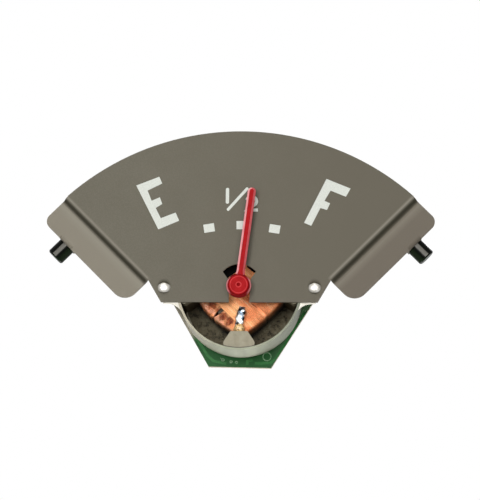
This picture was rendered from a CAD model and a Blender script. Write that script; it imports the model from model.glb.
from dataclasses import dataclass
from math import atan2, copysign, cos, degrees, exp, hypot, pi, radians, sin, sqrt

import bmesh
import bpy
import numpy as np
from mathutils import Matrix, Vector
from mathutils.noise import noise

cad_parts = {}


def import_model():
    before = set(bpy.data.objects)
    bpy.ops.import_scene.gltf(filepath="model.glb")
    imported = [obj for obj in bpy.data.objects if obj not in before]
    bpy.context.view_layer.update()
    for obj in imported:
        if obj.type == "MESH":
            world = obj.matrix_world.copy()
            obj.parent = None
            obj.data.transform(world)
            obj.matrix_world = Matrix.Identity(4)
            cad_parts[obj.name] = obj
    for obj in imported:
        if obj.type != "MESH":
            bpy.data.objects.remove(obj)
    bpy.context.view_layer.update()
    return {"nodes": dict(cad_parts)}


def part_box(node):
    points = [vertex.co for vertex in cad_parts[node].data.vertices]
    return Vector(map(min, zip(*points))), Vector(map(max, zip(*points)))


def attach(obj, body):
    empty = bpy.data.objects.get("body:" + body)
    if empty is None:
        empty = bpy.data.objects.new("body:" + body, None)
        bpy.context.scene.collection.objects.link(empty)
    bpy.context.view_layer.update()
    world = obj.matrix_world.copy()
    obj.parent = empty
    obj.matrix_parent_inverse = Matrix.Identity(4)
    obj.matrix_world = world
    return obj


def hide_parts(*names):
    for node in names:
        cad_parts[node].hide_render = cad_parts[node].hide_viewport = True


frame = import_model()

# Sizes are real millimetres, and depths run backwards from the front of the dial. Meshes are in metres
MM = 0.001
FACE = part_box("dial_plate")[0].y


def depth(y):
    """A place along Y, in metres, as a depth behind the front of the dial."""
    return (y - FACE) / MM


def front_and_back(node):
    """Depths of a CAD node's two sides."""
    return [depth(corner.y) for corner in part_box(node)]


SWING = "pointer_assembly"
REST_ANGLE = radians(7.2)

# Where the pieces here sit on the CAD's
COIL_MIDDLE = sum(front_and_back("inner_coil_core")) / 2
CORE_BACK = front_and_back("cup_liner")[0]
BOARD_FRONT, BOARD_BACK = front_and_back("circuit_board")
SOLDER_BACK = front_and_back("solder_joint")[1]
CUP_OUT = -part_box("shield_cup")[0].z / MM
RIVET_R = 1.65
RIVET_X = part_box("dial_rivets")[1].x / MM - RIVET_R
LEAD_X = 5
RESISTOR_Z = 5.2
PIN_OUT = 10.5


# Looks

def colour(shade):
    """A shader's colour, from red, green and blue on a screen, 0 to 255, or from one grey level, 0 to 1."""
    if not isinstance(shade, tuple):
        return (shade, shade, shade, 1)
    values = [c / 255 for c in shade]
    linear = [c / 12.92 if c <= 0.04045 else ((c + 0.055) / 1.055) ** 2.4 for c in values]
    return (*linear, 1)


class Nodes:
    """Adds shader nodes to a tree."""

    def __init__(self, tree):
        self.tree = tree

    def add(self, kind, inputs, output=0, **settings):
        """Adds a node, its inputs fed with outputs or plain values, and returns one of its outputs."""
        node = self.tree.nodes.new("ShaderNode" + kind)
        for name, value in settings.items():
            setattr(node, name, value)
        for socket, value in inputs.items():
            if hasattr(value, "links"):
                self.tree.links.new(value, node.inputs[socket])
            else:
                node.inputs[socket].default_value = value
        return node.outputs[output]

    def number(self, operation, *values, clamped=False):
        """Arithmetic on numbers."""
        return self.add("Math", dict(enumerate(values)), "Value", operation=operation, use_clamp=clamped)

    def seen_directly(self):
        """1 for rays from the camera, or by way of a reflection or glass, and 0 for light."""
        path = self.add("LightPath", {}).node.outputs
        level = self.number("MAXIMUM", path["Is Camera Ray"], path["Is Glossy Ray"])
        return self.number("MAXIMUM", level, path["Is Transmission Ray"])


class Look(Nodes):
    """A node material in the making, whose tone is its colour so far."""

    def __init__(self, name, tones=None, shine=0.5, **values):
        """Starts from clouds of two tones, a specular level and other values of the shader."""
        self.material = bpy.data.materials.new(name)
        self.material.use_nodes = True
        super().__init__(self.material.node_tree)
        self.shader = self.tree.nodes["Principled BSDF"]
        for socket, value in {"Specular IOR Level": shine, **values}.items():
            self.shader.inputs[socket.replace("_", " ")].default_value = value
        source = self.add("TexCoord", {}).node.outputs
        self.place = source["Object"]
        self.normal = source["Normal"]
        self.tone = self.clouds(*tones) if tones else None

    def vector(self, operation, *values, output="Vector"):
        """Arithmetic on vectors. A length or a product comes out as Value."""
        return self.add("VectorMath", dict(enumerate(values)), output, operation=operation)

    def grain(self, size, detail=3, place=None, rough=0.55, output="Fac"):
        """Cloudy noise whose features are about this large."""
        values = {"Vector": place or self.place, "Scale": 1 / (size * MM), "Detail": detail}
        return self.add("TexNoise", {**values, "Roughness": rough}, output)

    def stretched(self, x, y, z, place=None):
        """The place on the piece, with each axis multiplied."""
        return self.vector("MULTIPLY", place or self.place, (x, y, z))

    def turned(self, angle):
        """The place on the piece, turned about the pointer's axis."""
        inputs = {"Vector": self.place, "Angle": radians(angle)}
        return self.add("VectorRotate", inputs, "Vector", rotation_type="Y_AXIS")

    def shaken(self, size, most):
        """The place on the piece, moved by up to this much, so that edges become ragged."""
        swing = self.vector("SUBTRACT", self.grain(size, rough=0.5, output="Color"), (0.5, 0.5, 0.5))
        return self.vector("MULTIPLY_ADD", swing, (2 * most * MM,) * 3, self.place)

    def weave(self, detail, width):
        """Short strands along X and along Z, narrowed to this share of their length."""
        strands = [self.grain(0.5, detail, self.stretched(*way)) for way in ((1, 1, width), (width, 1, 1))]
        return self.number("MULTIPLY", self.number("ADD", *strands, clamped=True), 0.5)

    def ramp(self, amount, *stops):
        """Shades at places from 0 to 1, each a colour or a grey level."""
        output = self.add("ValToRGB", {"Fac": amount}, "Color")
        points = output.node.color_ramp.elements
        while len(points) < len(stops):
            points.new(0.5)
        for point, (place, shade) in zip(points, stops):
            point.position = place
            point.color = colour(shade)
        return output

    def clouds(self, size, detail, dark, light, start=0.3, end=0.7):
        """Two shades, by noise that passes from one level to another."""
        return self.ramp(self.grain(size, detail), (start, dark), (end, light))

    def over(self, amount, shade, share=1):
        """Lays a screen colour or an output over the tone, by an amount times a share."""
        inputs = {"Factor": self.number("MULTIPLY", amount, share), "A": self.tone}
        inputs["B"] = colour(shade) if isinstance(shade, tuple) else shade
        self.tone = self.add("Mix", inputs, "Result", data_type="RGBA")

    def rise(self, value, start, end):
        """From 0 to 1 as a value passes from one level to another."""
        return self.add("MapRange", {"Value": value, "From Min": start, "From Max": end}, "Result")

    def span(self, value, start, end):
        """From 0 to 1 as a place passes from one to another."""
        return self.rise(value, start * MM, end * MM)

    def part(self, axis, source=None):
        """One coordinate of the place on the piece, or of another vector."""
        return self.add("SeparateXYZ", {0: source or self.place}, axis)

    def sunk(self, start, end):
        """From 0 to 1 between two depths."""
        return self.span(self.part("Y"), FACE / MM + start, FACE / MM + end)

    def tilt(self, axis):
        """How far the surface faces along an axis, from -1 to 1."""
        return self.part(axis, self.normal)

    def distance(self):
        """Distance from the pointer's axis."""
        return self.vector("LENGTH", self.stretched(1, 0, 1), output="Value")

    def outward(self):
        """From -1 where the surface faces the pointer's axis to 1 where it faces away from it."""
        away = self.vector("NORMALIZE", self.stretched(1, 0, 1))
        return self.vector("DOT_PRODUCT", away, self.normal, output="Value")

    def near(self, x, z, reach, place=None):
        """From 1 at a place of X and Z to 0 at this distance from it."""
        away = self.vector("MULTIPLY_ADD", place or self.place, (1, 0, 1), (-x * MM, 0, -z * MM))
        return self.span(self.vector("LENGTH", away, output="Value"), reach, reach * 0.4)

    def made(self, dull, bumps):
        """The material, from noise's size and detail and the least and the most roughness, and from noise's
        size and detail, or an output, and the height of its bumps."""
        size, detail, least, most = dull
        *shape, high = bumps
        height = shape[0] if hasattr(shape[0], "links") else self.grain(*shape)
        inputs = {"Value": self.grain(size, detail), "To Min": least, "To Max": most}
        rough = self.add("MapRange", inputs, "Result")
        bent = self.add("Bump", {"Height": height, "Distance": high * MM}, "Normal")
        for output, socket in ((self.tone, "Base Color"), (rough, "Roughness"), (bent, "Normal")):
            self.tree.links.new(output, self.shader.inputs[socket])
        return self.material


# The creases run at 45 degrees, so X plus or minus Z is this many times a distance along or across them
SLANT = sqrt(2)
# Distance from the pointer's axis square to the start of a crease's worn edge, and on to plain paint
CREASE_START = 14.3
CREASE_SPAN = 5
# Distance along a crease, from the point nearest the axis, at which the wing begins
CREASE_LOW = 17.8
# Side of each wing, how much farther out its crease's marks are, its paint and the worn paint beside it
WINGS = ((-1, 0.35, (129, 123, 110), (135, 131, 118)), (1, 0, (105, 98, 87), (122, 116, 104)))


def dial_paint():
    """Grey paint, worn pale and dirty along each crease, and paler on the wings."""
    look = Look("dial_paint", (0.35, 2, (98, 94, 82), (108, 104, 92), 0.42, 0.62), 0.12)
    x, z = look.part("X"), look.part("Z")
    look.over(0.5, look.clouds(9, 3, (99, 95, 83), (106, 102, 90)))
    look.over(look.span(x, -30, 30), (97, 92, 80))
    for side, out, shade, edge in WINGS:
        sideways = look.number("MULTIPLY", x, side)
        start = (CREASE_START + out) * SLANT
        across = look.span(look.number("SUBTRACT", sideways, z), start, start + CREASE_SPAN * SLANT)
        along = look.number("ADD", sideways, z)
        beside = look.span(along, CREASE_LOW * SLANT, (CREASE_LOW + 1) * SLANT)
        is_worn = look.ramp(across, (0, 0), (0.11, 1), (0.19, 0.8), (0.3, 0))
        is_dirty = look.ramp(across, (0.12, 0), (0.26, 0.8), (0.34, 0.85), (0.5, 0))
        look.over(look.ramp(across, (0.4, 0), (0.5, 1)), shade)
        look.over(is_worn, (130, 125, 113), beside)
        look.over(look.ramp(across, (0.46, 0), (0.62, 0.9), (0.72, 0.6), (0.98, 0)), edge)
        look.over(is_dirty, (44, 42, 32), beside)
    for side in (-1, 1):
        look.over(look.near(side * RIVET_X, 0.5, 1.95), (62, 58, 46))
    return look.made((1.2, 3, 0.5, 0.62), (0.28, 2, 0.006))


def ink_white():
    look = Look("ink_white", (0.3, 3, (200, 203, 195), (214, 217, 209), 0.35, 0.65), 0.2)
    return look.made((0.8, 3, 0.5, 0.7), (0.2, 2, 0.004))


def rivet_steel():
    """Bright, lightly stained metal, dark where the dome faces up and less so where it faces down."""
    look = Look("rivet_steel", (0.9, 3, (180, 177, 168), (216, 214, 208)), Metallic=0.6)
    look.over(look.clouds(0.8, 4, 0, 0.6, 0.46, 0.64), (140, 135, 124))
    look.over(look.rise(look.tilt("Z"), -0.56, -0.7), (104, 100, 88))
    look.over(look.rise(look.tilt("Z"), 0.26, 0.42), (74, 70, 56))
    return look.made((0.3, 4, 0.3, 0.46), (0.35, 3, 0.012))


def pin_black():
    """Black lacquer, rubbed grey along the line that faces forwards, and greenish below."""
    look = Look("pin_black", (1.5, 3, (1, 3, 1), (7, 10, 5)), 0.04)
    look.over(look.rise(look.tilt("Z"), -0.25, -0.5), (24, 34, 20))
    level = look.vector("DOT_PRODUCT", look.normal, (0, -0.995, 0.1), output="Value")
    look.over(look.rise(level, 0.958, 0.982), (108, 106, 100))
    return look.made((0.6, 3, 0.22, 0.34), (0.5, 3, 0.006))


def cup_steel():
    """Dull plated steel, stained dark inside the cup and bright on its two ears."""
    look = Look("cup_steel", shine=0.2, Metallic=0.15)
    streak = look.grain(2.2, 4, look.stretched(1, 0.12, 1))
    look.tone = look.ramp(streak, (0.25, (134, 137, 118)), (0.55, (150, 153, 133)), (0.8, (162, 165, 145)))
    look.over(look.span(look.part("X"), 3, 15), (120, 123, 108))
    look.over(look.span(look.part("X"), -4, -15), (168, 161, 142))
    blotch = look.grain(1.3, 6, rough=0.7)
    stain = look.ramp(blotch, (0.36, (40, 36, 24)), (0.5, (84, 78, 60)), (0.64, (118, 110, 90)))
    look.over(look.number("LESS_THAN", look.outward(), -0.5), stain)
    beyond = look.number("GREATER_THAN", look.distance(), (CUP_OUT + 0.2) * MM)
    look.over(beyond, look.clouds(1.2, 4, (208, 203, 190), (226, 222, 211)))
    return look.made((0.9, 4, 0.45, 0.62), (0.4, 4, 0.012))


def fibre(name, dark, light, dirt=None):
    """Pressed fibre board, with dirt inside a square on its corner that ends between two distances."""
    look = Look(name, shine=0.2)
    strands = look.weave(4, 0.15)
    look.tone = look.ramp(strands, (0.35, dark), (0.65, light))
    if dirt:
        blotch = look.grain(1.4, 6, rough=0.75)
        look.over(look.ramp(blotch, (0.38, 1), (0.5, 0)), (44, 40, 28))
        look.over(look.ramp(blotch, (0.54, 0), (0.66, 0.8)), (122, 118, 98))
        far = [look.number("ABSOLUTE", look.part(axis, look.turned(45))) for axis in "XZ"]
        look.over(look.span(look.number("MAXIMUM", *far), *dirt), (14, 11, 6))
    return look.made((0.7, 3, 0.6, 0.85), (strands, 0.02))


def bobbin_plastic():
    """Grey beige plastic, brown deep inside the cup and dark where a post meets the cup's wall."""
    look = Look("bobbin_plastic", (1.6, 4, (134, 127, 105), (156, 149, 127)), 0.35, Subsurface_Weight=0.08,
                Subsurface_Radius=(0.0008, 0.0006, 0.0004))
    look.over(look.sunk(4.9, 5.5), (76, 64, 40))
    look.over(look.span(look.distance(), 15.3, 15.5), (52, 44, 30))
    return look.made((0.6, 3, 0.42, 0.6), (0.3, 3, 0.01))


def copper_wire(name, turn, folds=(), edge=None):
    """Copper with streaks along the turns, dark folds at places of X and Z, and a bright strip at one end."""
    look = Look(name, shine=0.3, Metallic=0.5)
    look.tone = look.ramp(look.grain(2.6, 4), (0.28, (230, 136, 86)), (0.5, (255, 164, 108)),
                          (0.72, (255, 200, 146)))
    look.over(look.near(-3.2, -5.6, 5), (255, 208, 148), 0.5)
    look.over(look.near(2.8, 4.4, 3), (255, 180, 122))
    streak = look.grain(1, 4, look.stretched(0.16, 1, 1.6, look.turned(turn)))
    look.over(look.ramp(streak, (0.3, 0.6), (0.46, 0)), (164, 84, 48))
    look.over(look.ramp(streak, (0.56, 0), (0.68, 0.7)), (255, 220, 178))
    shaken = look.shaken(1.1, 1.5)
    if edge:
        end = look.number("ADD", look.part("X", shaken), look.part("Z", shaken))
        strip = look.ramp(look.span(end, edge, edge - 2), (0, 0), (0.2, 0.8), (0.7, 0.8), (0.9, 0))
        look.over(strip, (255, 190, 156))
    folded = look.clouds(0.8, 4, (104, 40, 22), (190, 104, 66), 0.36, 0.6)
    for fold in folds:
        look.over(look.near(*fold, shaken), folded)
    look.over(look.sunk(6, 12), (46, 23, 10))
    return look.made((1.1, 3, 0.3, 0.48), (0.5, 4, 0.03))


def copper_deep():
    """The layers under the outermost turns, seen only as dark lines between them."""
    look = Look("copper_deep", (0.8, 3, (98, 50, 26), (140, 78, 46)), Metallic=0.3)
    return look.made((0.6, 3, 0.55, 0.75), (0.2, 3, 0.02))


def tape_black():
    look = Look("tape_black", (0.6, 3, (5, 5, 4), (14, 13, 11)), 0.05)
    return look.made((0.5, 3, 0.6, 0.8), (0.3, 3, 0.02))


# Bare and plated metals: both tones, the least and the most roughness, and the size and height of the marks
METALS = {
    "tinned_wire": ((190, 190, 184), (222, 222, 218), 0.25, 0.42, 0.5, 0.008),
    "solder": ((150, 156, 160), (206, 208, 210), 0.1, 0.26, 0.8, 0.03),
    "bearing_brass": ((178, 146, 74), (206, 176, 100), 0.28, 0.42, 0.5, 0.008),
    "spindle_steel": ((178, 180, 184), (206, 208, 212), 0.18, 0.3, 0.5, 0.008),
    "screw_steel": ((170, 172, 168), (204, 206, 200), 0.3, 0.48, 0.5, 0.008),
    "stud_brass": ((186, 152, 82), (214, 184, 112), 0.24, 0.4, 0.5, 0.008),
    "nut_brass": ((190, 164, 100), (216, 194, 134), 0.26, 0.42, 0.5, 0.008),
}


def metal(name):
    """One of the metals, with faint stains and small scratches."""
    dark, light, least, most, size, high = METALS[name]
    look = Look(name, (size * 3, 4, dark, light), Metallic=1)
    return look.made((size, 5, least, most), (size / 2, 4, high))


def solder_streaked():
    """Shiny solder with the gap between two tinned tails, grey folds beside it and burnt spots."""
    look = Look("solder_streaked", (1.1, 3, (196, 204, 208), (255, 255, 252), 0.3, 0.6), Metallic=0.9)
    shaken = look.shaken(0.7, 0.3)
    fold = (88, 102, 116)
    burnt = (8, 12, 16)
    marks = ((0.15, -5.7, 0.9, fold), (0.45, -6.5, 0.9, fold), (0.85, -7.6, 0.8, fold),
             (0.7, -4.8, 0.75, burnt), (0.2, -5.4, 0.7, burnt), (1.3, -6.2, 0.7, burnt),
             (1.25, -7.8, 0.6, burnt), (-0.42, -9.1, 0.8, burnt), (-0.85, -6.2, 0.6, fold))
    for x, z, reach, shade in marks:
        look.over(look.near(x, z, reach, shaken), shade)
    return look.made((0.8, 3, 0.12, 0.3), (0.4, 3, 0.03))


def flux_amber():
    look = Look("flux_amber", (0.5, 3, (120, 74, 26), (252, 212, 146), 0.36, 0.52), Coat_Weight=0.6,
                Coat_Roughness=0.12)
    return look.made((0.5, 3, 0.16, 0.34), (0.3, 3, 0.03))


def magnet_ferrite():
    """Dark grey ceramic with pits."""
    look = Look("magnet_ferrite", (0.5, 5, (52, 52, 56), (78, 78, 82)))
    pits = look.add("TexVoronoi", {"Vector": look.place, "Scale": 1 / (0.35 * MM)}, "Distance")
    return look.made((0.5, 3, 0.5, 0.75), (pits, 0.015))


def washer_nylon():
    look = Look("washer_nylon", (0.6, 3, (206, 200, 166), (222, 218, 190)), 0.4, Subsurface_Weight=0.15,
                Subsurface_Radius=(0.0006, 0.0006, 0.0005))
    return look.made((0.4, 3, 0.4, 0.55), (0.3, 3, 0.006))


# Size and detail of the clouds in the pointer's plastic, how dull it is, and its bumps
RED_CLOUD = (2.2, 4)
RED_SURFACE = ((0.7, 3, 0.42, 0.55), (0.4, 3, 0.006))


def pointer_red(name="pointer_red", dark=(148, 17, 22), light=(174, 27, 31)):
    """The red plastic of the pointer and its cap."""
    return Look(name, (*RED_CLOUD, dark, light), 0.04).made(*RED_SURFACE)


def pointer_bevel():
    """The red plastic where light leaves through its thin edges, palest at the left."""
    look = Look("pointer_bevel", (*RED_CLOUD, (196, 84, 88), (218, 108, 112)), 0.04)
    left = look.clouds(*RED_CLOUD, (240, 150, 154), (255, 182, 184))
    look.over(look.rise(look.tilt("X"), 0.1, -0.1), left)
    return look.made(*RED_SURFACE)


def flange_edge():
    """The edge of the hub's flange: dark, with a pale line at the left and at the right."""
    look = Look("flange_edge", (*RED_CLOUD, (96, 18, 18), (120, 24, 24)), 0.04)
    look.over(look.rise(look.number("ABSOLUTE", look.tilt("X")), 0.42, 0.58), (206, 122, 126))
    return look.made(*RED_SURFACE)


def board_green():
    """Green lacquer over woven glass, dusty at the right, pale at the front's left and bare where sawn."""
    look = Look("board_green", shine=0.1)
    strands = look.weave(2, 0.2)
    look.tone = look.ramp(strands, (0.35, (12, 62, 24)), (0.65, (28, 88, 38)))
    look.over(look.clouds(4, 3, 0, 0.6), (34, 94, 42))
    look.over(look.span(look.part("X"), 7, 15), (96, 122, 92), 0.6)
    forwards = look.rise(look.tilt("Y"), -0.5, -0.6)
    for x, z, reach in ((-17.5, -1.5, 4.5), (-15.8, -4.8, 4.5), (-14, -7.8, 4)):
        look.over(look.near(x, z, reach), (160, 155, 138), forwards)
    sawn = look.grain(0.5, 4, look.stretched(0.3, 3, 0.3))
    laminate = look.ramp(sawn, (0.3, (176, 164, 138)), (0.7, (214, 200, 178)))
    look.over(look.number("LESS_THAN", look.number("ABSOLUTE", look.tilt("Y")), 0.7), laminate)
    return look.made((0.8, 3, 0.3, 0.5), (strands, 0.012))


def board_trace():
    """A copper track under the green lacquer."""
    look = Look("board_trace", (1.2, 3, (34, 98, 44), (54, 118, 60)), 0.1)
    return look.made((0.8, 3, 0.28, 0.45), (0.5, 3, 0.01))


def board_ink():
    look = Look("board_ink", (0.4, 3, (58, 116, 62), (138, 168, 134), 0.35, 0.65), 0.3)
    return look.made((0.5, 3, 0.5, 0.7), (0.3, 3, 0.004))


def resistor_body():
    look = Look("resistor_body", (0.8, 4, (190, 164, 118), (208, 184, 140)), Coat_Weight=0.3,
                Coat_Roughness=0.2)
    return look.made((0.5, 3, 0.35, 0.5), (0.4, 3, 0.01))


def band_paint(name, dark, light):
    look = Look(name, (0.4, 3, dark, light), Coat_Weight=0.3, Coat_Roughness=0.2)
    return look.made((0.4, 3, 0.32, 0.48), (0.4, 3, 0.008))


def studio_floor():
    """A pale floor that looks pale wherever it is seen, and still takes a shadow."""
    look = Look("studio_floor", (40, 3, (236, 236, 235), (241, 241, 240)))
    glow = look.add("Emission", {"Color": colour((240, 240, 239))})
    share = look.number("MULTIPLY", look.seen_directly(), 0.75)
    mix = look.add("MixShader", {0: share, 1: look.shader.outputs["BSDF"], 2: glow})
    look.tree.links.new(mix, look.tree.nodes["Material Output"].inputs["Surface"])
    return look.made((20, 3, 0.8, 0.9), (4, 3, 0.05))


# Making pieces

def put_in_scene(name, data):
    item = bpy.data.objects.new(name, data)
    bpy.context.scene.collection.objects.link(item)
    return item


def make_piece(name, parts, materials, body="gauge", crease=35, chosen=None):
    """A mesh piece from parts, each with points in metres and faces. Edges sharper than the crease stay
    sharp, and chosen gives the material of each face."""
    points, faces = [], []
    for more_points, more_faces in parts:
        faces += [tuple(len(points) + i for i in face) for face in more_faces]
        points += [tuple(p) for p in more_points]
    mesh = bpy.data.meshes.new(name)
    mesh.from_pydata(points, [], faces)
    for item in materials:
        mesh.materials.append(item)
    if chosen:
        mesh.polygons.foreach_set("material_index", chosen)
    shape = bmesh.new()
    shape.from_mesh(mesh)
    bmesh.ops.remove_doubles(shape, verts=shape.verts, dist=1e-7)
    bmesh.ops.recalc_face_normals(shape, faces=shape.faces)
    shape.to_mesh(mesh)
    shape.free()
    mesh.shade_smooth()
    mesh.set_sharp_from_angle(angle=radians(crease))
    piece = put_in_scene(name, mesh)
    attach(piece, body)
    return piece


def grid_faces(rows, columns, wrap_rows=False):
    """Quads over rows of points that each go round."""
    faces = []
    for row in range(rows if wrap_rows else rows - 1):
        here = row * columns
        there = (row + 1) % rows * columns
        for i in range(columns):
            j = (i + 1) % columns
            faces.append((here + i, here + j, there + j, there + i))
    return faces


def closed_faces(rows, columns):
    """The quads and the two faces that close their ends."""
    last = rows * columns - 1
    return grid_faces(rows, columns) + [tuple(range(columns)), tuple(last - i for i in range(columns))]


def ring(centre, deep, steps, radius):
    """Points round a place of X and Z at one depth, with a radius for each share of a turn."""
    x, z = centre
    points = []
    for i in range(steps):
        angle = 2 * pi * i / steps
        r = radius(i / steps)
        points.append(((x + r * cos(angle)) * MM, FACE + deep * MM, (z + r * sin(angle)) * MM))
    return points


def lathe(profile, centre=(0, 0), steps=72):
    """Turns a profile of radius and depth about an axis along Y."""
    points = []
    for radius, deep in profile:
        points += ring(centre, deep, steps, lambda share: radius)
    return points, grid_faces(len(profile), steps)


def laid_along_x(shape, y, z):
    """A lathed shape with its axis along X instead, at a place of Y and Z in metres."""
    points, faces = shape
    return [(deep - FACE, y + x, z + up) for x, deep, up in points], faces


def arc(centre, radius, start, end, steps):
    """Points of an arc as (radius, depth) or (x, z), between two angles in degrees."""
    angles = [radians(start + (end - start) * i / steps) for i in range(steps + 1)]
    return [(centre[0] + radius * cos(a), centre[1] + radius * sin(a)) for a in angles]


def plate(outline, front, back):
    """A flat outline of X and Z, given to the right hand, drawn out between two depths."""
    points = [(x * MM, FACE + deep * MM, z * MM) for deep in (front, back) for x, z in outline]
    return points, closed_faces(2, len(outline))


def unit(vectors):
    """Rows of numbers as vectors of length 1."""
    return vectors / np.linalg.norm(vectors, axis=1)[:, None]


def tube(path, radii, sides, reference):
    """A round wire along points in metres, with its ends closed. The reference is never along it."""
    path = np.array(path, float)
    ahead = unit(np.diff(path, axis=0))
    along = unit(np.vstack([ahead[:1], ahead[1:] + ahead[:-1], ahead[-1:]]))
    first = unit(reference - (along @ reference)[:, None] * along)
    second = np.cross(along, first)
    turns = 2 * np.pi * np.arange(sides) / sides
    radii = np.broadcast_to(radii, len(path))[:, None, None]
    rim = np.cos(turns)[None, :, None] * first[:, None] + np.sin(turns)[None, :, None] * second[:, None]
    points = (path[:, None] + radii * rim).reshape(-1, 3)
    return points, closed_faces(len(path), sides)


# The coils

WIRE_R = 0.085
WIRE_PITCH = 0.172
BUNDLE_IN = 0.62
BUNDLE_OUT = 6.55
BUNDLE_CORNER = 0.45
COIL_HEIGHT = 1.05
BUNDLE_GIRTH = 2 * COIL_HEIGHT + BUNDLE_OUT - BUNDLE_IN - BUNDLE_CORNER * (4 - pi)
COIL_RUN = 8.03
INNER_HALF = 2.73
OUTER_HALF = 3.9
BED_ROWS = 31


@dataclass
class Coil:
    """One coil: its turns run along its own X, lie at depth Y and are wound up along Z. Bow: by how much
    its ends bulge, where along Z and how widely. Closing: how far its bundles near each other at the ends,
    from where along X and over what length. Dents: X, Z, reach and depth."""

    name: str
    turn: float
    half: float
    bow: tuple
    closing: tuple
    lumps: float
    dents: tuple = ()

    def across(self, amount):
        """Sideways place and height of a share of the way round a bundle, from its inner side."""
        side = COIL_HEIGHT - BUNDLE_CORNER
        way = min(amount, 1 - amount) * BUNDLE_GIRTH - side
        angle = min(max(way / BUNDLE_CORNER, 0), pi / 2)
        height = side + min(way, 0) + BUNDLE_CORNER * sin(angle)
        inset = BUNDLE_CORNER * (1 - cos(angle)) + max(way - BUNDLE_CORNER * pi / 2, 0)
        return BUNDLE_IN + inset if amount <= 0.5 else BUNDLE_OUT - inset, height

    def loop(self, height):
        """One turn seen from its side, at a height over the body: (x, y, normal x, normal y)."""
        run = COIL_RUN + height
        half = self.half + height
        bend = 0.4 * height + 0.12
        points = []
        for side_x, side_y, start in ((1, 1, 90), (1, -1, 0), (-1, -1, -90), (-1, 1, -180)):
            for x, y in arc((0, 0), 1, start, start - 90, 5):
                points.append((side_x * (run - bend) + bend * x, side_y * (half - bend) + bend * y, x, y))
            if (side_x, side_y) == (1, -1):
                points += [((run - bend) * (1 - i / 4), -half, 0, -1) for i in range(1, 8)]
            elif side_x == side_y:
                points.append((side_x * run, 0, side_x, 0))
        points += [(-(run - bend) * (1 - i / 2), half, 0, 1) for i in range(1, 4)]
        return points

    def shaped(self, x, y, normal_x, normal_y, z, height):
        """Moves a point of an even winding to where the real, looser one has it."""
        full = height / COIL_HEIGHT
        away = abs(z) - BUNDLE_IN
        narrowing, start, span = self.closing
        near_end = min(max((abs(x) - start) / span, 0), 1)
        z -= copysign(narrowing * near_end * max(1 - away / 3, 0), z)
        wave = noise(Vector((x * 0.16, y * 0.16, z * 0.9 + self.turn)))
        fine = noise(Vector((x * 0.5, y * 0.5, z * 2.1 + self.turn)))
        crown = 0.1 * (1 - (x / COIL_RUN) ** 2) if normal_y < -0.5 else 0
        most, middle, reach = self.bow
        at_end = min(max(abs(x) - COIL_RUN + 1.2, 0), 1)
        x += copysign(full * at_end * most * max(1 - ((z - middle) / reach) ** 2, 0), x)
        z += self.lumps * 2.2 * max(1 - away / 1.4, 0) * noise(Vector((x * 1.4, y * 0.4, z)))
        if away < 0.46:
            x += copysign(near_end * at_end * 0.75 * (COIL_HEIGHT + WIRE_R - height), x)
        push = full * (crown + self.lumps * (wave + 0.5 * fine))
        for dent_x, dent_z, reach, deep in self.dents:
            far = hypot((x - dent_x) / 1.3, z - dent_z) / reach
            if far < 2.5 and y < 0:
                dip = exp(-far * far)
                push -= full * deep * dip
                z += copysign(0.9 * reach * dip * min(abs(z - dent_z) / (0.5 * reach), 1), z - dent_z)
        return x + push * normal_x, y + push * normal_y, z

    def placed(self, x, y, z):
        """From the coil's own frame to the shared one, in metres."""
        turned = Matrix.Rotation(self.turn, 3, "Y") @ Vector((x, COIL_MIDDLE + y, z))
        return turned * MM + Vector((0, FACE, 0))

    def wire_path(self):
        """The whole wire: up one bundle, across the back and over the other, with both its tails."""
        count = int(BUNDLE_GIRTH / WIRE_PITCH)
        places = []
        for i in range(2 * count):
            share = (i + 0.5) / count - 1
            sideways, height = self.across(abs(share))
            places.append((copysign(sideways, share), height + WIRE_R))
        path = []
        for i, (z, height) in enumerate(places):
            after = places[min(i + 1, len(places) - 1)]
            outline = self.loop(height)
            for j, place in enumerate(outline):
                late = max(j - (len(outline) - 4), 0) / 4
                path.append(self.shaped(*place, z + late * (after[0] - z), height))
        back = CORE_BACK - COIL_MIDDLE
        x, y, z = path[0]
        head = [(x - 0.5, back, z - 0.2), (x - 0.3, y + 0.3, z - 0.15)]
        x, y, z = path[-4]
        tail = [(x + 0.3, y + 0.3, z + 0.15), (x + 0.5, back, z + 0.2)]
        return [self.placed(*p) for p in head + path[:-3] + tail]

    def bed(self, side):
        """The closed surface of one bundle's deeper layers, just under the outermost turns."""
        points = []
        for i in range(BED_ROWS):
            sideways, height = self.across(i / (BED_ROWS - 1))
            height = max(height - 0.02, 0.02)
            for at in self.loop(height):
                points.append(self.placed(*self.shaped(*at, side * sideways, height)))
        return points, grid_faces(BED_ROWS, len(self.loop(1)), wrap_rows=True)

    def build(self, wire_material, deep_material):
        reference = (sin(self.turn), 0, cos(self.turn))
        wound = tube(self.wire_path(), WIRE_R * MM, 5, reference)
        beds = [self.bed(-1), self.bed(1)]
        chosen = [0] * len(wound[1]) + [1] * sum(len(faces) for points, faces in beds)
        piece = make_piece(self.name + "_turns", [wound] + beds,
                           [wire_material, deep_material], crease=80, chosen=chosen)
        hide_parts(self.name + "_core", self.name + "_winding")


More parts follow.
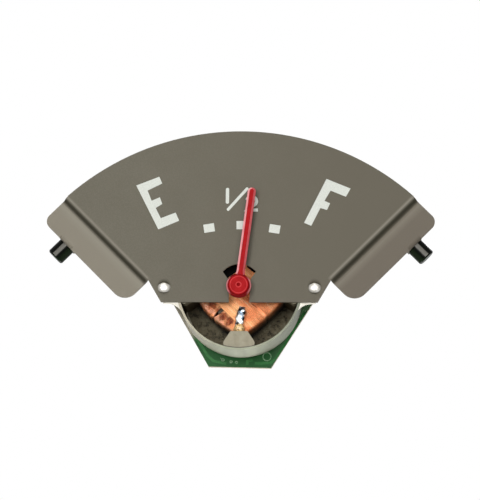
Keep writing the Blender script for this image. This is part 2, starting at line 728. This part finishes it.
def coils():
    """Both coils, folds in the inner one's lower end, and black tape on the outer one's upper end."""
    deep_material = copper_deep()
    dents = ((-7.6, 2.6, 0.5, 0.5), (-8.4, -1.85, 0.5, 0.5), (-7.6, -3.9, 0.4, 0.4), (-8.2, 5.2, 0.4, 0.3))
    folds = ((-7.6, -3.5, 1.3), (-6.7, -4.3, 1), (-5.5, -5.6, 1.3), (-4.4, -6.9, 1.4), (-2.7, -7.9, 1.5))
    inner = Coil("inner_coil", radians(-45), INNER_HALF, (0.9, 1, 6), (0.5, 8.3, 0.5), 0.2, dents)
    inner.build(copper_wire("inner_copper", 45, folds, edge=-12.3), deep_material)
    outer = Coil("outer_coil", radians(-135), OUTER_HALF, (0.75, -1.5, 8), (0.56, 2.2, 4.5), 0.06)
    outer.build(copper_wire("outer_copper", 135), deep_material)
    front = front_and_back("outer_coil_winding")[0]
    tapes = (((-7.2, 0.6), (0.6, 6), (-1.1, 9.9), (-9.9, 1.1)),
             ((1.7, 6.3), (3.7, 4.7), (4.7, 5.6), (2.5, 7.6)))
    parts = [plate(tape, front - 0.36, front - 0.3) for tape in tapes]
    make_piece("coil_tape", parts, [tape_black()])


# The pointer and its cap

POINTER_LEN = 26.2
POINTER_W = 2.1
POINTER_ROOT = 2.4
POINTER_FLARE = 4.2
BEVEL_W = 0.5
POINTER_BACK = -2.6
POINTER_SIDE = -2.85
POINTER_TOP = -3.4
HUB_R = 3.2
HUB_BACK = -1.1
BOSS_R = 1.4
BORE_R = 0.5
CAP_TOP = -4.5
CAP_R = 2.78
CAP_EDGE = 0.42
ROUND_STEPS = 96


def turned_to_rest(points):
    """Turns points drawn for an upright pointer to its place at rest."""
    turn = Matrix.Rotation(REST_ANGLE, 3, "Y")
    return [tuple(turn @ Vector(p)) for p in points]


def pointer_blade():
    """The upright, bevelled blade, widening into the hub, and the material of each face."""
    half = POINTER_W / 2
    tip = POINTER_LEN - half
    stations = [(POINTER_ROOT + (POINTER_FLARE - POINTER_ROOT) * i / 12, half + 0.5 * (1 - i / 12) ** 2, 0)
                for i in range(13)]
    stations += [(POINTER_FLARE + (tip - POINTER_FLARE) * i / 8, half, 0) for i in range(1, 9)]
    stations += [(tip, half, radians(9 * i)) for i in range(1, 11)]
    points = []
    for z, half, angle in stations:
        edge = []
        for width, deep in ((half, POINTER_BACK), (half, POINTER_SIDE), (half - BEVEL_W, POINTER_TOP)):
            edge.append((width * cos(angle) * MM, FACE + deep * MM, (z + width * sin(angle)) * MM))
        points += [(-x, y, z) for x, y, z in edge] + edge[::-1]
    faces = grid_faces(len(stations), 6) + [tuple(range(6))]
    chosen = [0, 1, 0, 1, 0, 0] * (len(stations) - 1) + [0]
    return points, faces, chosen


def pointer(red):
    """The blade with the hub's flange and boss."""
    points, faces, chosen = pointer_blade()
    hub = lathe([(BORE_R, POINTER_TOP), (HUB_R - 0.3, POINTER_TOP), (HUB_R, POINTER_TOP + 0.26),
                 (HUB_R, POINTER_BACK), (BOSS_R, POINTER_BACK), (BOSS_R, HUB_BACK - 0.1),
                 (BOSS_R - 0.1, HUB_BACK), (BORE_R, HUB_BACK), (BORE_R, POINTER_TOP)], steps=ROUND_STEPS)
    chosen += [2 if i == 1 else 0 for i in range(8) for _ in range(ROUND_STEPS)]
    piece = make_piece("pointer_blade", [(turned_to_rest(points), faces), hub],
                       [red, pointer_bevel(), flange_edge()], SWING, chosen=chosen)
    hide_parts("pointer")


def pointer_cap(red):
    """The round cap, with a dimple, a ring pressed into its face and a rounded edge."""
    face = CAP_R - CAP_EDGE
    dimple = [(0, 0.3), (0.15, 0.27), (0.3, 0.14), (0.42, 0.02), (0.55, 0)]
    groove = [(0.78, 0), (2.05, 0), (2.12, 0.05), (2.2, 0.07), (2.3, 0.02), (face, 0)]
    rounded = [(face + x, y) for x, y in arc((0, CAP_EDGE), CAP_EDGE, -90, 0, 8)[1:]]
    profile = [(radius, CAP_TOP + deep) for radius, deep in dimple + groove + rounded]
    profile += [(CAP_R, -3.52), (CAP_R - 0.08, -3.44), (0.52, -3.44), (0.52, -4), (0, -4)]
    shades = {0: 2, 1: 2, 2: 2, 4: 1, 6: 1, 7: 1, 8: 1}
    bands = [shades.get(i, 2 if 11 <= i < 19 else 0) for i in range(len(profile) - 1)]
    chosen = [band for band in bands for _ in range(ROUND_STEPS)]
    pale = pointer_red("cap_ring", (182, 50, 52), (196, 62, 64))
    dark = pointer_red("cap_shade", (118, 10, 14), (140, 16, 20))
    piece = make_piece("hub_cap", [lathe(profile, steps=ROUND_STEPS)], [red, pale, dark],
                       SWING, chosen=chosen)
    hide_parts("pointer_cap")


# The printing on the dial, from the pointer's axis

INK = 0.02
LETTER_E = [(-27.35, 27.15), (-21.33, 29.5), (-20.51, 27.69), (-24.35, 25.78), (-23.24, 23.04),
            (-21.1, 24.01), (-20.42, 22.21), (-22.13, 21.11), (-20.75, 18.38), (-16.88, 19.88),
            (-15.91, 17.72), (-21.35, 15.39)]
LETTER_F = [(22.59, 28.95), (28.88, 26.35), (27.68, 24.18), (23.67, 25.81), (22.09, 23.08),
            (23.55, 22.39), (22.75, 20.62), (21.02, 21.15), (18.64, 16.4), (16.78, 17.2)]
DOTS = ((-8.04, 15.78, 9.1), (0.53, 16.56, 0), (9.09, 15.56, -9.1))
DOT_HALF_W = 1.4
DOT_HALF_H = 1.1
STROKE = 0.86


def ribbon(line, width):
    """Outline of a stroke of even width along points, with mitred bends and square ends."""
    points = [Vector(point) for point in line]
    ways = [(end - start).normalized() for start, end in zip(points, points[1:])]
    left, right = [], []
    for point, before, after in zip(points, ways[:1] + ways, ways + ways[-1:]):
        along = (before + after).normalized()
        sideways = Vector((-along.y, along.x)) * (width / 2 / max(along.dot(after), 0.4))
        left.append(point + sideways)
        right.append(point - sideways)
    return right + left[::-1]


def stroke(start, end, width):
    """Outline of a straight stroke with rounded ends."""
    angle = degrees(atan2(end[1] - start[1], end[0] - start[0]))
    foot = arc(start, width / 2, angle + 90, angle + 270, 10)
    return foot + arc(end, width / 2, angle - 90, angle + 90, 10)


def dot_outline(x, z, angle):
    """One of the square marks, turned by this much."""
    turned = Matrix.Rotation(radians(angle), 2)
    corners = ((-1, -1), (1, -1), (1, 1), (-1, 1))
    return [Vector((x, z)) + turned @ Vector((a * DOT_HALF_W, b * DOT_HALF_H)) for a, b in corners]


def figure_two():
    """The lower figure of the half mark: a bow, a slanted stroke and a foot, as one thick line."""
    left, right, low, high = 1.75, 4.28, 20.6, 24.2
    bow = (right - left) / 2
    line = arc((left + bow, high - bow), bow, 165, -35, 14) + [(left + 0.2, low), (right + 0.4, low)]
    return ribbon(line, STROKE)


def printing():
    one = stroke((-3.33, 22.7), (-3.33, 26.1), STROKE)
    slash = stroke((-3.1, 20.75), (1.8, 26.3), 0.75)
    outlines = [LETTER_E, LETTER_F, one, slash, figure_two()] + [dot_outline(*dot) for dot in DOTS]
    make_piece("dial_printing", [plate(outline, -INK, -INK / 4) for outline in outlines],
               [ink_white()])


# The solder on the lower post's pin

def solder_blade():
    """The tinned coil tails in a lumpy blade of solder, from the pin to above it."""
    start = Vector((-0.4, 0, -10.3))
    end = Vector((0.75, 0, -4.5))
    steps = 32
    middle = FACE + (SOLDER_BACK - 0.72) * MM
    path, radii = [], []
    for i in range(steps + 1):
        t = i / steps
        wave = noise(Vector((t * 5.2, 0.4, 1.7)))
        swell = noise(Vector((t * 4.1, 3.1, 0.2)))
        at = start.lerp(end, t)
        path.append(((at.x + 0.12 * wave) * MM, middle, at.z * MM))
        taper = sin(pi * min(max(t, 0.04), 0.97)) ** 0.16
        radii.append((1.02 + 0.2 * t + 0.22 * swell) * taper * MM)
    points, faces = tube(path, np.array(radii), 28, (1, 0, 0))
    bumpy = []
    for x, y, z in points:
        p = Vector((x, y, z)) / MM
        lump = 0.26 * noise(p * 0.9) + 0.12 * noise(p * 2.3)
        flat = (y - middle) * 0.66 + middle
        bumpy.append((x + lump * MM, flat - abs(lump) * 0.9 * MM, z + 0.5 * lump * MM))
    return bumpy, faces


def solder_tag():
    """The blade of solder, with flux at its foot."""
    piece = make_piece("solder_tag", [solder_blade()], [solder_streaked()], crease=70)
    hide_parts("solder_joint")
    profile = [(0, 2.5), (0.6, 2.56), (1.05, 2.8), (1.3, 3.3), (1.4, 4.1), (0, 4.1)]
    foot, faces = lathe(profile, (-0.05, -10.2), 40)
    uneven = []
    for x, y, z in foot:
        lump = 0.25 * noise(Vector((x, y, z)) / MM * 1.3)
        uneven.append((x + lump * MM, y, z + max(lump, -0.1) * MM))
    make_piece("solder_flux", [(uneven, faces)], [flux_amber()], crease=70)


# The circuit board's tracks, marks and pads

TRACK = 0.03
BEFORE_BOARD = (BOARD_FRONT - TRACK, BOARD_FRONT - TRACK / 4)
BEHIND_BOARD = (BOARD_BACK + TRACK / 4, BOARD_BACK + TRACK)


def track(line, width, depths):
    """A flat track along points of X and Z."""
    return plate(ribbon(line, width), *depths)


def disc(x, z, outer, inner, depths):
    """A flat ring round a place on the board."""
    front, back = depths
    profile = [(inner, back), (inner, front), (outer, front), (outer, back), (inner, back)]
    return lathe(profile, (x, z), 32)


def board_tracks():
    """Tracks under the lacquer, on both faces."""
    front_routes = [
        [(-11.9, -10.9), (-9, -15.4), (-7.4, -16.9), (-4, -17.6)],
        [(16.9, -3.6), (12.2, -11.4), (9, -16.4), (7.6, -17.4), (3.6, -17.5)],
        [(1.6, -17.9), (1.6, -16.9), (3, -16.6)],
    ]
    rear_routes = [
        [(PIN_OUT, 0), (11.4, 2.2), (13.6, 3.3)],
        [(-PIN_OUT, 0), (-11.4, -2.2), (-13.6, -3.3)],
        [(0, PIN_OUT), (-3.4, 7.6), (-LEAD_X, RESISTOR_Z)],
        [(LEAD_X, RESISTOR_Z), (9.4, 8.4), (15, 8), (18.2, 5.2), (17.2, 2.4)],
        [(0, -PIN_OUT), (3.2, -7.8), (LEAD_X, -RESISTOR_Z)],
        [(-LEAD_X, -RESISTOR_Z), (-8.6, -7), (-12.2, -5.6), (-13, -3.3)],
    ]
    parts = [track(route, 0.7, BEFORE_BOARD) for route in front_routes]
    parts += [track(route, 1.1, BEHIND_BOARD) for route in rear_routes]
    make_piece("board_tracks", parts, [board_trace()])


def board_marks():
    """Printed rings on the front, without any lettering."""
    rings = ((6.83, -15.7, 1.2, 0.95), (-4.9, -16.6, 0.45, 0.2), (-2.7, -17.1, 0.4, 0.16),
             (-1.3, -17.3, 0.4, 0.16), (16.6, -3.4, 0.5, 0.2))
    parts = [disc(*place, BEFORE_BOARD) for place in rings]
    parts.append(track([(-5.6, -16), (-4.4, -17.4)], 0.2, BEFORE_BOARD))
    make_piece("board_marks", parts, [board_ink()])


def board_pads():
    """Tinned rings on the rear: round the resistors' leads and round the solder of the four pins."""
    parts = [disc(LEAD_X * x, RESISTOR_Z * z, 1.1, 0.32, BEHIND_BOARD) for x in (-1, 1) for z in (-1, 1)]
    parts += [disc(PIN_OUT * x, PIN_OUT * z, 1.35, 0.95, BEHIND_BOARD)
              for x, z in ((1, 0), (0, 1), (-1, 0), (0, -1))]
    make_piece("board_pads", parts, [metal("tinned_wire")])


# Fasteners

def rivets():
    """Smooth domes over the shank, with a slightly flattened crown."""
    back = front_and_back("dial_rivets")[1]
    profile = [(0, -0.78), (0.5, -0.76), (0.9, -0.7), (1.2, -0.58), (1.45, -0.4), (1.6, -0.18), (RIVET_R, 0),
               (1.62, 0), (1, 0), (1, 1.3), (1.5, 1.3), (1.5, back - 0.15), (1.35, back), (0, back)]
    parts = [lathe(profile, (side * RIVET_X, 0), 64) for side in (-1, 1)]
    piece = make_piece("rivet_domes", parts, [rivet_steel()], crease=50)
    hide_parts("dial_rivets")


THREAD_PITCH = 0.5
THREAD_DEEP = 0.28
THREAD_ROWS = 8
STUD_R = 1.5
CORE_R = 1.24
FLANGE_R = 3
FLANGE_T = 1.2
NUT_W = 5.5
# The nuts' back lies in the frame's origin plane
NUT_BACK = depth(0)


def thread_radius(share, deep):
    """The stud's radius at a share of a turn and at a depth."""
    phase = (deep / THREAD_PITCH - share) % 1
    return STUD_R - THREAD_DEEP * min(abs(2 * phase - 1) * 1.25, 1)


def threaded(centre, start, end, steps=48):
    """A screw thread between two depths, with a pointed start, as one closed surface."""
    rows = int((end - start) / THREAD_PITCH * THREAD_ROWS) + 1
    points = []
    for i in range(rows):
        deep = start + (end - start) * i / (rows - 1)
        limit = STUD_R - 0.4 + max(end - deep, 0)
        points += ring(centre, deep, steps, lambda share: min(thread_radius(share, deep), limit))
    return points, closed_faces(rows, steps)


def studs():
    """The studs' feet and flanges, and their free threads."""
    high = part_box("terminal_studs")[1]
    flange = BOARD_BACK + FLANGE_T
    x = high.x / MM - FLANGE_R
    plain_end = NUT_BACK - 0.2
    profile = [(0, BOARD_FRONT), (1.2, BOARD_FRONT), (1.3, BOARD_FRONT + 0.1), (1.3, BOARD_BACK),
               (FLANGE_R - 0.1, BOARD_BACK), (FLANGE_R, BOARD_BACK + 0.1), (FLANGE_R, flange - 0.1),
               (FLANGE_R - 0.1, flange), (CORE_R, flange), (CORE_R, plain_end), (0, plain_end)]
    parts = []
    for side in (-1, 1):
        parts.append(lathe(profile, (side * x, 0), 64))
        parts.append(threaded((side * x, 0), plain_end, depth(high.y)))
    piece = make_piece("stud_threads", parts, [metal("stud_brass")], crease=40)
    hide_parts("terminal_studs")


def hexagon(share, chamfer):
    """The nut's radius at a share of a turn, with its corners cut back by a chamfer."""
    wedge = (2 * pi * share) % (pi / 3) - pi / 6
    return min(NUT_W / 2 / cos(wedge), NUT_W / 2 + chamfer)


def nuts():
    """Hexagonal nuts with a chamfer on both sides."""
    low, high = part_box("terminal_nuts")
    front, back = front_and_back("terminal_nuts")
    x = (high.x - low.x) / 2 / MM - NUT_W / sqrt(3)
    bore = CORE_R + 0.04
    bevel = ((-0.1, 0), (0.1, 0.06), (0.25, 0.14), (0.45, 0.25))
    levels = [(chamfer, front + inset) for chamfer, inset in bevel]
    levels += [(chamfer, back - inset) for chamfer, inset in reversed(bevel)]
    inside = ((STUD_R + 0.05, back), (bore, back - 0.3), (bore, front))
    parts = []
    for side in (-1, 1):
        centre = (side * x, 0)
        points = []
        for chamfer, deep in levels:
            points += ring(centre, deep, ROUND_STEPS, lambda share: hexagon(share, chamfer))
        points += lathe(inside, centre, ROUND_STEPS)[0]
        parts.append((points, grid_faces(len(levels) + len(inside), ROUND_STEPS)))
    piece = make_piece("hex_nuts", parts, [metal("nut_brass")], crease=28)
    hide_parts("terminal_nuts")


# The resistors

BAND_W = 0.5
BAND_PAINTS = {
    "band_brown": ((84, 46, 26), (104, 60, 36)),
    "band_black": ((24, 23, 22), (38, 36, 34)),
    "band_orange": ((206, 104, 36), (222, 124, 52)),
    "band_gold": ((170, 138, 62), (196, 164, 86)),
}


def resistors():
    """Two film resistors: a waisted body with coloured bands."""
    low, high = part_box("board_resistors")
    middle = (low.y + high.y) / 2
    body_r = (high.y - low.y) / 2 / MM
    waist_r = body_r - 0.14
    half = high.x / MM
    end = [(0, 0), (0.5, 0), (0.85, 0.1), (body_r - 0.05, 0.4), (body_r, 0.7), (body_r - 0.02, 1.2),
           (waist_r, 1.6)]
    profile = [(r, x - half) for r, x in end] + [(waist_r, 0)] + [(r, half - x) for r, x in reversed(end)]

    def pair(outline):
        return [laid_along_x(lathe(outline, steps=48), middle, z * MM) for z in (-RESISTOR_Z, RESISTOR_Z)]

    piece = make_piece("resistor_bodies", pair(profile), [resistor_body()], crease=50)
    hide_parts("board_resistors")
    starts = ((-half + 0.6, body_r + 0.01), (-0.95, waist_r + 0.02), (0.15, waist_r + 0.02),
              (half - 1.1, body_r + 0.01))
    for (name, paint), (start, r) in zip(BAND_PAINTS.items(), starts):
        band = [(r - 0.1, start), (r, start), (r, start + BAND_W), (r - 0.1, start + BAND_W)]
        make_piece(name, pair(band), [band_paint(name, *paint)])


# Materials of the CAD nodes that are shown as they are

def finish_nodes():
    shown = (
        (dial_paint(), ["dial_plate"]),
        (pin_black(), ["locating_pin_left", "locating_pin_right"]),
        (cup_steel(), ["shield_cup"]),
        (fibre("liner_board", (78, 71, 54), (122, 113, 90), dirt=(10.7, 9.5)), ["cup_liner"]),
        (bobbin_plastic(), ["bobbin_front", "bobbin_rear"]),
        (metal("tinned_wire"), ["terminal_pins", "resistor_leads"]),
        (metal("bearing_brass"), ["front_bearing", "rear_bearing"]),
        (metal("spindle_steel"), ["spindle", "stop_pin"]),
        (washer_nylon(), ["thrust_washers"]),
        (magnet_ferrite(), ["rotor_magnet"]),
        (fibre("sheet_fibre", (116, 106, 86), (146, 136, 112)), ["board_sheet"]),
        (board_green(), ["circuit_board"]),
        (metal("solder"), ["board_solder"]),
        (metal("screw_steel"), ["board_screws", "flat_washers", "lock_washers"]),
        (fibre("bush_fibre", (96, 40, 24), (132, 62, 40)), ["fibre_bushes"]),
    )
    for material, names in shown:
        for name in names:
            frame["nodes"][name].material_slots[0].material = material


# The studio, in metres

CAMERA_TURN = radians(2.6)
CAMERA_RISE = radians(11)
CAMERA_ROLL = radians(0.6)
CAMERA_FAR = 0.6
MM_PER_PIXEL = 0.26
PIXELS = (480, 500)
AXIS_PIXEL = (239.2, 287.5)
FLOOR_SIZE = 3
FLOOR_HEIGHT = -0.55


def camera():
    """The photograph's view: from the front, a little to the right and from below."""
    focal = CAMERA_FAR / (MM_PER_PIXEL * MM)
    aside = ((AXIS_PIXEL[0] - PIXELS[0] / 2) / focal, 1, (PIXELS[1] / 2 - AXIS_PIXEL[1]) / focal)
    turned = (Matrix.Rotation(CAMERA_TURN, 4, "Z") @ Matrix.Rotation(CAMERA_RISE, 4, "X")
              @ Matrix.Rotation(-CAMERA_ROLL, 4, "Y"))
    place = Vector((0, FACE, 0)) - CAMERA_FAR * (turned @ Vector(aside))
    data = bpy.data.cameras.new("camera")
    data.lens = focal * data.sensor_width / max(PIXELS)
    data.clip_start = 0.01
    view = put_in_scene("camera", data)
    view.matrix_world = Matrix.Translation(place) @ turned @ Matrix.Rotation(pi / 2, 4, "X")
    bpy.context.scene.camera = view


def area_light(name, place, size, watts):
    """A square light that shines on the middle of the gauge."""
    data = bpy.data.lights.new(name, "AREA")
    data.size = size
    data.energy = watts
    lamp = put_in_scene(name, data)
    lamp.location = place
    aim = Vector((0, FACE, 0.01)) - Vector(place)
    lamp.rotation_euler = aim.to_track_quat("-Z", "Y").to_euler()


def floor():
    """A pale floor under the gauge, which stands clear of it."""
    half = FLOOR_SIZE / 2
    corners = [(x, y, FLOOR_HEIGHT) for x in (-half, half) for y in (-half, half)]
    mesh = bpy.data.meshes.new("floor")
    mesh.from_pydata(corners, [], [(0, 2, 3, 1)])
    mesh.materials.append(studio_floor())
    put_in_scene("floor", mesh)


def world():
    """White where the camera or a reflection looks past the gauge, and dim as a light on it."""
    sky = bpy.data.worlds.new("studio")
    sky.use_nodes = True
    nodes = Nodes(sky.node_tree)
    white = nodes.add("Background", {"Color": (1, 1, 1, 1)})
    dim = nodes.add("Background", {"Color": (1, 0.99, 0.97, 1), "Strength": 0.07})
    mix = nodes.add("MixShader", {0: nodes.seen_directly(), 1: dim, 2: white})
    nodes.tree.links.new(mix, nodes.tree.nodes["World Output"].inputs["Surface"])
    bpy.context.scene.world = sky


def studio():
    camera()
    floor()
    world()
    area_light("key", (-0.24, FACE - 1.07, 0.05), 0.42, 6.9)
    area_light("fill", (0.3, FACE - 1.05, 0.1), 0.42, 3.2)
    area_light("top", (-0.12, FACE - 0.6, 0.9), 0.5, 3.2)
    area_light("bounce", (0, FACE + 0.36, -0.45), 0.4, 2.3)
    area_light("back", (0.3, FACE + 1, 0.5), 0.5, 7)
    bpy.context.scene.view_settings.view_transform = "Standard"


finish_nodes()
coils()
red_plastic = pointer_red()
pointer(red_plastic)
pointer_cap(red_plastic)
printing()
solder_tag()
board_tracks()
board_marks()
board_pads()
rivets()
studs()
nuts()
resistors()
studio()
